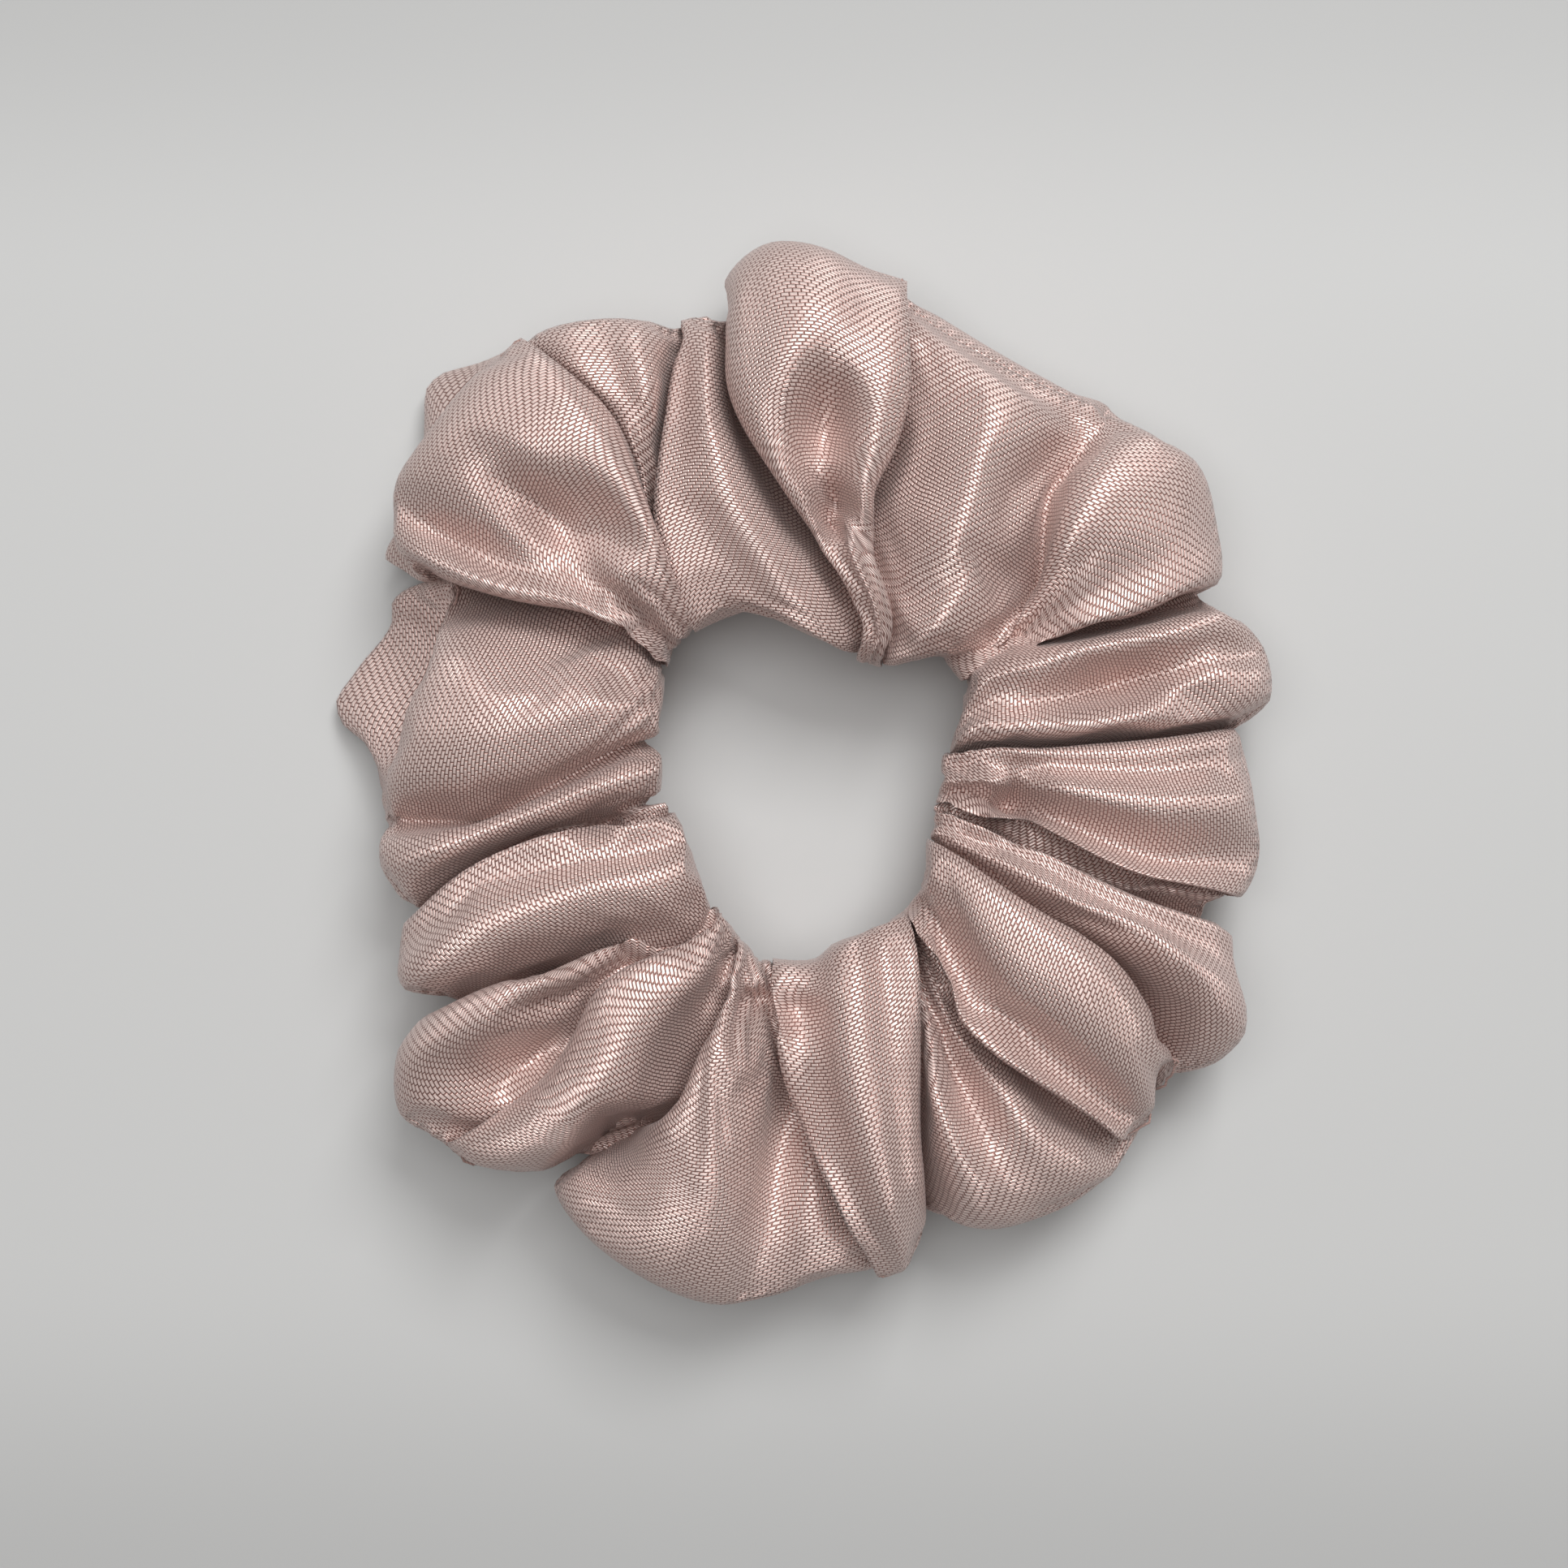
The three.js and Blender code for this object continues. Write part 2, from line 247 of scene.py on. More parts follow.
# three lines over a puff, then three through the crease that ends it
def puffLines(index):
    puff = puffs[index]
    before = puffs[index - 1]
    after = puffs[(index + 1) % len(puffs)]
    low = creaseSweep(before, -1 if index == 0 else 0)
    high = creaseSweep(puff)
    nextHigh = creaseSweep(after, 1 if index == len(puffs) - 1 else 0)
    width = (high - low) / degree
    nextWidth = (nextHigh - high) / degree
    stand = standing(width, puff)
    nextStand = standing(nextWidth, after)
    lines = []
    for u, height in zip((0.2, 0.5, 0.8), puff["profile"]):
        floor = creaseFloor(before) * (1 - u) + creaseFloor(puff) * u
        arch = height * (1 - ring["shoulder"] * abs(2 * u - 1) ** ring["shoulderPower"])
        top = floor + (puff["top"] - floor) * stand * arch
        depth = (puff["top"] - top) * fold["drawn"]
        reach = np.interp(u, (0, 0.2, 0.5, 0.8, 1), (before["notch"], *puff["reach"], puff["notch"]))
        lines.append(tubeLine(low + u * (high - low), reach, top, depth))
    floor = creaseFloor(puff)
    deep = (puff["top"] + after["top"]) / 2 - floor
    raised = np.maximum(0, ring["rimFloor"] - floor) * np.exp(-(share / ring["rimFloorReach"]) ** 2)
    floor = floor + raised
    mine = floor + (puff["top"] - floor) * stand
    theirs = floor + (after["top"] - floor) * nextStand
    tuck = np.minimum(fold["tuck"], fold["tuckShare"] * np.maximum(width, nextWidth)) * degree
    lap = fold["lap"] * degree
    notch = puff["notch"]
    lip = fold["lip"]
    wall = fold["wall"]
    valley = fold["valley"]
    if puff["over"] == 0:
        lines.append(tubeLine(high - lap, notch, floor + (mine - floor) * valley["height"],
                              valley["depth"] * deep, valley["back"]))
        lines.append(tubeLine(high, notch, floor, deep, fold["bottomBack"]))
        lines.append(tubeLine(high + lap, notch, floor + (theirs - floor) * valley["height"],
                              valley["depth"] * deep, valley["back"]))
        return lines
    way = puff["over"]
    upper, lower = (mine, theirs) if way == 1 else (theirs, mine)
    edge = puff["reach"][2] if way == 1 else after["reach"][0]
    creased = [
        tubeLine(high + way * lap, (notch + edge) / 2, floor + (upper - floor) * lip["height"],
                 lip["depth"] * deep),
        tubeLine(high - way * tuck, notch, floor, deep, fold["bottomBack"]),
        tubeLine(high - way * wall["lean"] * tuck, notch, floor + (lower - floor) * wall["height"],
                 wall["depth"] * deep, wall["back"]),
    ]
    return lines + creased[::way]


# distance and azimuth from the middle of the hole
def fromHole(points):
    away = points[:, :, :2] - centre
    azimuth = np.degrees(np.arctan2(away[:, :, 1], away[:, :, 0])) % 360
    return np.linalg.norm(away, axis=2), azimuth


def pressHollows(points):
    radius, azimuth = fromHole(points)
    upper = np.clip(side, 0, 1) ** 0.5  # the underside stays as it is
    for at, out, depth, wide, long in hollows:
        turn = np.radians((azimuth - at + 180) % 360 - 180) * radius
        press = np.exp(-(turn / wide) ** 2 - ((radius - out) / long) ** 2)
        pressed = points[:, :, 2] - depth * press * upper
        points[:, :, 2] = np.maximum(pressed, np.minimum(points[:, :, 2], ring["lowest"]))


def pullTabs(points):
    radius, azimuth = fromHole(points)
    for at, wide, extra in tabs:
        off = (azimuth - at + 180) % 360 - 180
        tent = np.exp(-np.abs(off / wide) ** tabShape["point"])
        bump = tent * np.exp(-((turnShare - tabShape["row"]) / tabShape["rowWidth"]) ** 2)
        pinch = tent * np.exp(-((turnShare - tabShape["tuckRow"]) / tabShape["tuckWidth"]) ** 2)
        stretched = (1 + (extra * bump - tabShape["tuck"] * pinch) / radius)[..., None]
        points[:, :, :2] = centre + (points[:, :, :2] - centre) * stretched
        points[:, :, 2] *= 1 - tabShape["flatten"] * bump


# columns evenly spaced along the strip, and the puff that each belongs to
def evenColumns(drawn):
    step = np.linalg.norm(np.roll(drawn, -1, axis=0) - drawn, axis=2)
    spacing = step[:, np.abs(turnShare - 0.35) < 0.25].mean(axis=1)  # over the top and the outer edge
    place = np.concatenate([[0], np.cumsum(spacing)])
    wanted = np.arange(ring["columns"]) / ring["columns"] * place[-1]
    index = np.interp(wanted, place, np.arange(len(place)))
    whole = index.astype(int)
    part = (index - whole)[:, None, None]
    grid = drawn[whole] * (1 - part) + drawn[(whole + 1) % len(drawn)] * part
    linesEach = 6
    creaseLine = 4  # the crease's bottom is the fifth of a puff's lines
    owner = np.floor((index / ring["lineSteps"] - creaseLine) / linesEach).astype(int) + 1
    return grid, owner % len(puffs)


def layOutSleeve():
    lines = [line for index in range(len(puffs)) for line in puffLines(index)]
    drawn = closedSpline(np.array(lines), ring["lineSteps"])
    pressHollows(drawn)
    pullTabs(drawn)
    return evenColumns(drawn)


def closedGridMesh(name, grid):
    columns, rows = grid.shape[:2]
    mesh = bpy.data.meshes.new(name)
    faces = []
    for c in range(columns):
        n = (c + 1) % columns
        for r in range(rows):
            m = (r + 1) % rows
            faces.append((c * rows + r, c * rows + m, n * rows + m, n * rows + r))
    mesh.from_pydata([tuple(p) for p in grid.reshape(-1, 3)], [], faces)
    mesh.update()
    return mesh


def link(name, mesh):
    obj = bpy.data.objects.new(name, mesh)
    scene.collection.objects.link(obj)
    return obj


def squareMesh(name, half):
    mesh = bpy.data.meshes.new(name)
    corners = [(-half, -half, 0), (half, -half, 0), (half, half, 0), (-half, half, 0)]
    mesh.from_pydata(corners, [], [(0, 1, 2, 3)])
    return mesh


cloth = {
    "frames": 24,
    "quality": 8,
    "scale": 10.0,  # it settles at this many times its size, where the solver is steady
    "mass": 0.3,
    "airDrag": 4.0,
    "tension": 30.0,
    "shear": 0.3,  # of the tension
    "stretchDamping": 10,
    "bending": 1.2,
    "bendDamping": 2,
    "pressure": 0.08,
    "gravity": 0.3,
    "grow": 0.06,  # how much larger the cloth wants to be than it is laid out
    "layerGap": 0.5,  # kept between two layers, mm
    "tableGap": 0.4,  # and over the table
    "friction": 5,
    "rimHold": 0.6,  # how firmly the hole's edge keeps its place, and how far round the tube that goes
    "rimReach": 0.035,
    "layoutHold": 0.08,  # how firmly the rest does
    "holdStiffness": 2.0,
    "settledShare": 0.35,  # of the way from the laid-out folds to the settled ones
}


def settleSleeve(grid):
    columns, rows = grid.shape[:2]
    size = mm * cloth["scale"]
    sleeve = link("settling sleeve", closedGridMesh("settling sleeve", grid * mm * cloth["scale"]))
    fromRim = np.minimum(turnShare, 1 - turnShare)
    held = cloth["rimHold"] - cloth["layoutHold"]
    weights = cloth["layoutHold"] + held * np.exp(-(fromRim / cloth["rimReach"]) ** 2)
    hold = sleeve.vertex_groups.new(name="hold")
    for r in range(rows):
        hold.add([c * rows + r for c in range(columns)], float(weights[r]), "REPLACE")

    board = link("settling board", squareMesh("settling board", 2.0))
    board.modifiers.new("Collision", "COLLISION")
    board.collision.thickness_outer = cloth["tableGap"] * size
    board.collision.cloth_friction = cloth["friction"]

    modifier = sleeve.modifiers.new("Cloth", "CLOTH")
    settings = modifier.settings
    settings.quality = cloth["quality"]
    settings.mass = cloth["mass"]
    settings.air_damping = cloth["airDrag"]
    settings.tension_stiffness = cloth["tension"]
    settings.compression_stiffness = cloth["tension"]
    settings.shear_stiffness = cloth["tension"] * cloth["shear"]
    settings.bending_stiffness = cloth["bending"]
    settings.tension_damping = cloth["stretchDamping"]
    settings.compression_damping = cloth["stretchDamping"]
    settings.shear_damping = cloth["stretchDamping"]
    settings.bending_damping = cloth["bendDamping"]
    settings.use_pressure = True
    settings.uniform_pressure_force = cloth["pressure"]
    settings.effector_weights.gravity = cloth["gravity"]
    settings.vertex_group_mass = "hold"
    settings.pin_stiffness = cloth["holdStiffness"]
    settings.shrink_min = -cloth["grow"]
    contact = modifier.collision_settings
    contact.use_collision = True
    contact.distance_min = cloth["tableGap"] * size
    contact.use_self_collision = True
    contact.self_distance_min = cloth["layerGap"] * size
    contact.self_friction = cloth["friction"]
    contact.collision_quality = 3

    scene.frame_start = 1
    scene.frame_end = cloth["frames"]
    modifier.point_cache.frame_start = 1
    modifier.point_cache.frame_end = cloth["frames"]
    for n in range(1, cloth["frames"] + 1):
        scene.frame_set(n)
        depsgraph = bpy.context.evaluated_depsgraph_get()
        depsgraph.update()
    settled = sleeve.evaluated_get(depsgraph).to_mesh()
    found = np.empty(len(settled.vertices) * 3)
    settled.vertices.foreach_get("co", found)
    found = found.reshape(columns, rows, 3) / size
    scene.frame_set(1)
    bpy.data.objects.remove(sleeve)
    bpy.data.objects.remove(board)
    return found


grid, owner = layOutSleeve()
print("sleeve laid out", grid.shape[0], "columns of", grid.shape[1])
settled = settleSleeve(grid)
print("sleeve settled, moved up to", round(float(np.abs(settled - grid).max()), 1), "mm")
grid = grid + cloth["settledShare"] * (settled - grid)

# the elastic inside holds the folds up where they cross it
channel = {"radius": 25.5, "reach": 2.6, "top": 12.6, "bottom": 4.9}


def liftOverElastic(grid):
    radius = fromHole(grid)[0]
    near = np.exp(-((radius - channel["radius"]) / channel["reach"]) ** 4)
    upper = np.arange(grid.shape[1]) < grid.shape[1] / 2
    lift = np.maximum(0, channel["top"] - grid[:, :, 2]) * near * upper
    drop = np.maximum(0, grid[:, :, 2] - channel["bottom"]) * near * ~upper
    grid[:, :, 2] += lift - drop


liftOverElastic(grid)

# twice as fine both ways, for the folds' small curves
fine = closedSpline(grid, 2)
fine = closedSpline(fine.transpose(1, 0, 2), 2).transpose(1, 0, 2)
fineOwner = np.repeat(owner, 2)
columns, rows = fine.shape[:2]
seamShare = 0.47  # the long seam lies at the outer edge
seamRow = int(rows * seamShare)


def outwardNormals(grid):
    along = np.roll(grid, -1, axis=0) - np.roll(grid, 1, axis=0)
    turning = np.roll(grid, -1, axis=1) - np.roll(grid, 1, axis=1)
    normal = np.cross(turning, along)
    return normal / np.maximum(np.linalg.norm(normal, axis=2, keepdims=True), 1e-12)


fineNormal = outwardNormals(fine)

# fabric coordinates in mm: v round the tube from the seam, u along the strip within each puff
stepAlong = np.linalg.norm(np.roll(fine, -1, axis=0) - fine, axis=2)
stepRound = np.linalg.norm(np.roll(fine, -1, axis=1) - fine, axis=2)
for shift in (1, 2, 4, 8):
    stepRound = (stepRound + np.roll(stepRound, shift, axis=0) + np.roll(stepRound, -shift, axis=0)) / 3
fabricV = np.concatenate([np.zeros((columns, 1)), np.cumsum(stepRound, axis=1)], axis=1)
fabricV = fabricV - fabricV[:, seamRow:seamRow + 1]
alongStrip = np.concatenate([np.zeros((1, rows)), np.cumsum(stepAlong, axis=0)], axis=0)
puffOffset = 37.0  # mm of weave between the starts of two columns, so that no two puffs match


def middleColumn(index):
    members = np.nonzero(fineOwner == index)[0]
    if members[-1] - members[0] > columns / 2:
        members = np.sort(np.where(members < columns / 2, members + columns, members))
    return members[len(members) // 2] % columns


middles = [middleColumn(index) for index in range(len(puffs))]


# place along the strip of a face's corner, measured from the middle of the puff that owns the face
def fabricU(column, corner, row):
    middle = middles[fineOwner[column]]
    total = alongStrip[-1, row]
    here = alongStrip[corner % columns, row] + (total if corner >= columns else 0)
    off = here - alongStrip[middle, row]
    if off > total / 2:
        off -= total
    if off < -total / 2:
        off += total
    return middle * puffOffset + off


# each length of the ring runs from the middle of one body to the middle of the next: the two bodies,
# the azimuth it starts at, and the lengths of sleeve that it stands for
spans = [
    ("front", "front_right", 270, ["sleeve_front", "sleeve_front_right"]),
    ("front_right", "right", 315, ["sleeve_right"]),
    ("right", "back_right", 0, ["sleeve_back_right"]),
    ("back_right", "back_a", 45, ["sleeve_back_a"]),
    ("back_b", "back_left", 90, ["sleeve_back_b"]),
    ("back_left", "left", 135, ["sleeve_back_left"]),
    ("left", "front_left", 180, ["sleeve_left"]),
    ("front_left", "front", 225, ["sleeve_front_left"]),
]
spanTurn = 45


def lastAzimuth(azimuth):
    return (azimuth + spanTurn) % 360


def directions(azimuth):
    angle = math.radians(azimuth)
    return np.array([math.cos(angle), math.sin(angle)]), np.array([-math.sin(angle), math.cos(angle)])


# The column where two lengths meet. All of it has to ride on the body there, so it is the one that lies
# best clear of the middles of both lengths. before and after say by how much, mm.
def borderColumn(azimuth):
    flat = fine[:, :, :2] - centre
    before = (flat @ directions(azimuth - spanTurn / 2)[1]).min(axis=1)
    after = -(flat @ directions(azimuth + spanTurn / 2)[1]).max(axis=1)
    room = np.minimum(before, after)
    room[(flat @ directions(azimuth)[0]).min(axis=1) < 0] = -1e9  # not on the far side of the hole
    best = int(np.argmax(room))
    return {"column": best, "before": float(before[best]), "after": float(after[best])}


borders = {azimuth: borderColumn(azimuth) for azimuth in range(0, 360, spanTurn)}
change = {"radius": 34, "height": 0.012, "reach": 0.98}  # reach keeps its ends just inside the borders


def columnsOf(azimuth):
    first = borders[azimuth]["column"]
    count = (borders[lastAzimuth(azimuth)]["column"] - first) % columns
    return [(first + k) % columns for k in range(count + 1)]


# where a piece's length starts and ends, between the first body and the second, is worked out, and the
# piece's placing is baked into its mesh
def blendAlong(piece, a, b, azimuth):
    out, along = directions(azimuth + spanTurn / 2)
    base = centre + change["radius"] * out
    start = base - along * borders[azimuth]["after"] * change["reach"]
    end = base + along * borders[lastAzimuth(azimuth)]["before"] * change["reach"]
    start = (start[0] * mm, start[1] * mm, change["height"])
    end = (end[0] * mm, end[1] * mm, change["height"])
    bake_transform(piece)


def smoothMesh(name, points, faces, layer, uv):
    mesh = bpy.data.meshes.new(name)
    mesh.from_pydata([tuple(point) for point in points], [], faces)
    mesh.polygons.foreach_set("use_smooth", [True] * len(faces))
    mesh.uv_layers.new(name=layer).data.foreach_set("uv", uv)
    mesh.update()
    return mesh


def satinPiece(name, use):
    points = np.concatenate([fine[c] for c in use]) * mm
    faces = []
    uv = []
    for k, c in enumerate(use[:-1]):
        for r in range(rows):
            n = (r + 1) % rows
            # step along the strip, row, and place in the row of fabric coordinates
            for step, row, turned in ((0, r, r), (0, n, r + 1), (1, n, r + 1), (1, r, r)):
                uv += [fabricU(c, c + step, row), fabricV[(c + step) % columns, turned]]
            faces.append((k * rows + r, k * rows + n, (k + 1) * rows + n, (k + 1) * rows + r))
    mesh = smoothMesh(name, points, faces, "fabric", uv)
    normals = np.concatenate([fineNormal[c] for c in use])
    mesh.normals_split_custom_set_from_vertices([tuple(normal) for normal in normals])
    mesh.update()
    return link(name, mesh)


def newMaterial(name):
    material = bpy.data.materials.new(name)
    material.use_nodes = True
    tree = material.node_tree
    return material, tree, tree.nodes["Principled BSDF"]


def nodeMakers(tree):
    def maths(operation, *values, clamp=False):
        node = tree.nodes.new("ShaderNodeMath")
        node.operation = operation
        node.use_clamp = clamp
        for socket, value in zip(node.inputs, values):
            if isinstance(value, (int, float)):
                socket.default_value = value
            else:
                tree.links.new(value, socket)
        return node.outputs[0]

    def ease(value, low, high, toLow, toHigh):
        node = tree.nodes.new("ShaderNodeMapRange")
        node.interpolation_type = "SMOOTHSTEP"
        for socket, number in zip(node.inputs[1:5], (low, high, toLow, toHigh)):
            socket.default_value = number
        tree.links.new(value, node.inputs[0])
        return node.outputs[0]

    def mix(factor, first, second):
        node = tree.nodes.new("ShaderNodeMix")
        node.data_type = "RGBA"
        tree.links.new(factor, node.inputs[0])
        node.inputs[6].default_value = (*first, 1)
        node.inputs[7].default_value = (*second, 1)
        return node.outputs[2]

    return maths, ease, mix


# how far a repeat's part is from its middle, 0 to 1
def offMiddle(maths, part):
    return maths("MULTIPLY", maths("ABSOLUTE", maths("SUBTRACT", part, 0.5)), 2)


def fabricPlace(tree, layer):
    place = tree.nodes.new("ShaderNodeUVMap")
    place.uv_map = layer
    return place.outputs[0]


# a piece's own coordinates: along it and across it, mm
def alongAndAcross(tree, layer):
    split = tree.nodes.new("ShaderNodeSeparateXYZ")
    tree.links.new(fabricPlace(tree, layer), split.inputs[0])
    return split.outputs[0], split.outputs[1]


def fabricNoise(tree, layer, scale, detail):
    node = tree.nodes.new("ShaderNodeTexNoise")
    node.inputs["Scale"].default_value = scale
    node.inputs["Detail"].default_value = detail
    tree.links.new(fabricPlace(tree, layer), node.inputs["Vector"])
    return node.outputs[0]


def addBump(tree, shader, height, distance, inwards=False):
    bump = tree.nodes.new("ShaderNodeBump")
    bump.inputs["Distance"].default_value = distance
    bump.invert = inwards
    tree.links.new(height, bump.inputs["Height"])
    tree.links.new(bump.outputs[0], shader.inputs["Normal"])


satin = {
    "rowSpacing": 0.41,  # between yarn rows, mm
    "floatRepeat": 0.95,  # along a row
    "rowShift": 0.4,  # of the repeat, from one row to the next
    "floatLength": (0.70, 1.0),  # where a float starts to end and where it has ended, as shares
    "floatWidth": (0.45, 1.05),
    "wander": 1.2,  # how far the rows stray, mm, over patches of about 1 / wanderScale mm
    "wanderScale": 0.12,
    "patchScale": 2.3,  # of paler and duller yarns
    "patchRange": (0.2, 0.75),
    "patchFloats": (0.75, 1.1),
    "ground": (0.29, 0.13, 0.105),
    "float": (0.80, 0.635, 0.588),
    "groundMetallic": 0.75,
    "floatMetallic": 0.25,
    "groundRoughness": 0.28,
    "floatRoughness": 0.34,
    "relief": 0.07,  # of the weave, mm
    "stretchedGloss": 0.6,
    "glossTurn": 0.25,  # a quarter turn lays it across the floats
    "shine": 0.75,
    "sheen": 0.15,
    "seamGroove": 0.22,  # depth of the line of stitching, mm
    "seamWidth": 0.4,
    "pucker": 0.16,  # height of the little gathers beside it
    "puckerLength": 1.9,
    "puckerJitter": 14,
    "puckerReach": 2.4,
}


def satinMaterial():
    material, tree, shader = newMaterial("satin weave")
    maths, ease, mix = nodeMakers(tree)
    along, across = alongAndAcross(tree, "fabric")
    # the yarns wander a little
    wander = fabricNoise(tree, "fabric", satin["wanderScale"], 2)
    strayed = maths("ADD", across, maths("MULTIPLY", wander, satin["wander"]))
    row = maths("DIVIDE", strayed, satin["rowSpacing"])
    shifted = maths("MULTIPLY", maths("FLOOR", row), satin["rowShift"])
    run = maths("FRACT", maths("ADD", maths("DIVIDE", along, satin["floatRepeat"]), shifted))
    inLength = ease(offMiddle(maths, run), *satin["floatLength"], 1, 0)
    inWidth = ease(offMiddle(maths, maths("FRACT", row)), *satin["floatWidth"], 1, 0)
    mottle = fabricNoise(tree, "fabric", satin["patchScale"], 3)
    patches = ease(mottle, *satin["patchRange"], *satin["patchFloats"])
    floats = maths("MULTIPLY", maths("MULTIPLY", inLength, inWidth), patches, clamp=True)
    metallic = ease(floats, 0, 1, satin["groundMetallic"], satin["floatMetallic"])
    roughness = ease(floats, 0, 1, satin["groundRoughness"], satin["floatRoughness"])
    tree.links.new(mix(floats, satin["ground"], satin["float"]), shader.inputs["Base Color"])
    tree.links.new(metallic, shader.inputs["Metallic"])
    tree.links.new(roughness, shader.inputs["Roughness"])
    shader.inputs["Anisotropic"].default_value = satin["stretchedGloss"]
    shader.inputs["Anisotropic Rotation"].default_value = satin["glossTurn"]
    shader.inputs["Sheen Weight"].default_value = satin["sheen"]
    shader.inputs["Specular IOR Level"].default_value = satin["shine"]
    tangent = tree.nodes.new("ShaderNodeTangent")
    tangent.direction_type = "UV_MAP"
    tangent.uv_map = "fabric"
    tree.links.new(tangent.outputs[0], shader.inputs["Tangent"])
    # the line of stitching sinks in, and the cloth gathers a little beside it
    fromSeam = maths("ABSOLUTE", across)
    groove = maths("MULTIPLY", ease(fromSeam, 0, satin["seamWidth"], 1, 0), -satin["seamGroove"])
    phase = maths("MULTIPLY", along, 2 * math.pi / satin["puckerLength"])
    wave = maths("SINE", maths("ADD", phase, maths("MULTIPLY", wander, satin["puckerJitter"])))
    gathers = maths("MULTIPLY", wave, ease(fromSeam, 0, satin["puckerReach"], satin["pucker"], 0))
    height = maths("ADD", maths("MULTIPLY", floats, satin["relief"]), groove)
    addBump(tree, shader, maths("ADD", height, gathers), mm)
    return material


satinCloth = satinMaterial()
for a, b, azimuth, nodes in spans:
    use = columnsOf(azimuth)
    piece = satinPiece("satin_" + a + "_to_" + b, use)
    piece.data.materials.append(satinCloth)
    blendAlong(piece, a, b, azimuth)
    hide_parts(*nodes)
print("satin cut into", len(spans), "lengths")

thread = {
    "sides": 6,
    "seamRadius": 0.16,
    "seamInset": 0.45,  # inside the cloth
    "stitch": 2.2,
    "stitchDip": 0.18,
    "pink": (0.52, 0.33, 0.29),
    "white": (0.83, 0.81, 0.77),
    "plies": 3,
    "twist": 0.45,  # length of one turn of the plies
    "twistRelief": 0.05,
    "plyGrooveShade": 0.6,  # painted shade in the groove between two plies, as a share of the thread's colour
    "roughness": (0.45, 0.8),
    "sheen": 0.3,
}


def threadMesh(name, path, radius):
    path = np.array(path)
    sides = thread["sides"]
    ahead = np.gradient(path, axis=0)
    ahead /= np.linalg.norm(ahead, axis=1, keepdims=True)
    aside = np.cross(ahead, [0.0, 0.0, 1.0])
    aside /= np.maximum(np.linalg.norm(aside, axis=1, keepdims=True), 1e-9)
    above = np.cross(aside, ahead)
    along = np.concatenate([[0], np.cumsum(np.linalg.norm(np.diff(path, axis=0), axis=1))])
    turn = np.arange(sides) / sides * 2 * np.pi
    around = aside[:, None] * np.cos(turn)[None, :, None] + above[:, None] * np.sin(turn)[None, :, None]
    points = (path[:, None] + radius * around).reshape(-1, 3)
    faces = []
    uv = []
    for k in range(len(path) - 1):
        for s in range(sides):
            n = (s + 1) % sides
            faces.append((k * sides + s, k * sides + n, (k + 1) * sides + n, (k + 1) * sides + s))
            uv += [along[k], s / sides, along[k], (s + 1) / sides]
            uv += [along[k + 1], (s + 1) / sides, along[k + 1], s / sides]
    last = (len(path) - 1) * sides
    faces.append(tuple(range(sides - 1, -1, -1)))
    faces.append(tuple(range(last, last + sides)))
    for k in (0, len(path) - 1):
        for s in range(sides):
            uv += [along[k], s / sides]
    return smoothMesh(name, points * mm, faces, "thread", uv)


def threadMaterial(name, colour):
    material, tree, shader = newMaterial(name)
    maths, ease, mix = nodeMakers(tree)
    along, around = alongAndAcross(tree, "thread")
    turns = maths("ADD", maths("DIVIDE", along, thread["twist"]), maths("MULTIPLY", around, thread["plies"]))
    ply = offMiddle(maths, maths("FRACT", turns))
    # painted shade: the thread is darker where two plies meet and sink
    grooveShaded = tuple(c * thread["plyGrooveShade"] for c in colour)
    tree.links.new(mix(ply, colour, grooveShaded), shader.inputs["Base Color"])
    tree.links.new(ease(ply, 0, 1, *thread["roughness"]), shader.inputs["Roughness"])
    shader.inputs["Sheen Weight"].default_value = thread["sheen"]
    addBump(tree, shader, ply, thread["twistRelief"] * mm, inwards=True)
    return material


pinkThread = threadMaterial("pink thread", thread["pink"])
whiteThread = threadMaterial("white thread", thread["white"])

# the long seam's stitches lie in the groove, just inside the cloth
for a, b, azimuth, nodes in spans:
    use = columnsOf(azimuth)
    path = fine[use, seamRow] - fineNormal[use, seamRow] * thread["seamInset"]
    along = np.concatenate([[0], np.cumsum(np.linalg.norm(np.diff(path, axis=0), axis=1))])
    dip = thread["stitchDip"] * np.cos(along / thread["stitch"] * 2 * np.pi)
    path = path - fineNormal[use, seamRow] * dip[:, None]
    mesh = threadMesh("seam_stitches", path, thread["seamRadius"])
    stitches = link("seam_stitches_" + a + "_to_" + b, mesh)
    stitches.data.materials.append(pinkThread)
    blendAlong(stitches, a, b, azimuth)
    if a == "front":
        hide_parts("long_seam_thread")
print("seam stitched")

# the gap through which the sleeve was turned is closed by hand from the underside
closing = {
    "length": ("back_left", "left", 135),
    "azimuth": 163,
    "from": 24,  # distance from the middle of the hole
    "to": 42,
    "pitch": 2.2,
    "swing": 0.7,
    "radius": 0.18,
    "lift": 0.12,  # off the cloth
}


def closingPath():
    under = fine[:, rows * 3 // 4, :2] - centre
    bearing = np.degrees(np.arctan2(under[:, 1], under[:, 0])) % 360
    column = int(np.argmin(np.abs(bearing - closing["azimuth"])))
    reach = np.linalg.norm(fine[column, :, :2] - centre, axis=1)
    below = [r for r in range(rows // 2, rows) if closing["from"] < reach[r] < closing["to"]]
    path = []
    for r in below:
        beside = fine[(column + 1) % columns, r] - fine[column, r]
        beside = beside / max(np.linalg.norm(beside), 1e-6)
        for part in (0, 0.25, 0.5, 0.75):
            here = fine[column, r] * (1 - part) + fine[column, (r + 1) % rows] * part
            run = np.linalg.norm(here - fine[column, below[0]])
            swing = closing["swing"] * math.sin(run / closing["pitch"] * 2 * math.pi)
            path.append(here + beside * swing + fineNormal[column, r] * closing["lift"])
    return path


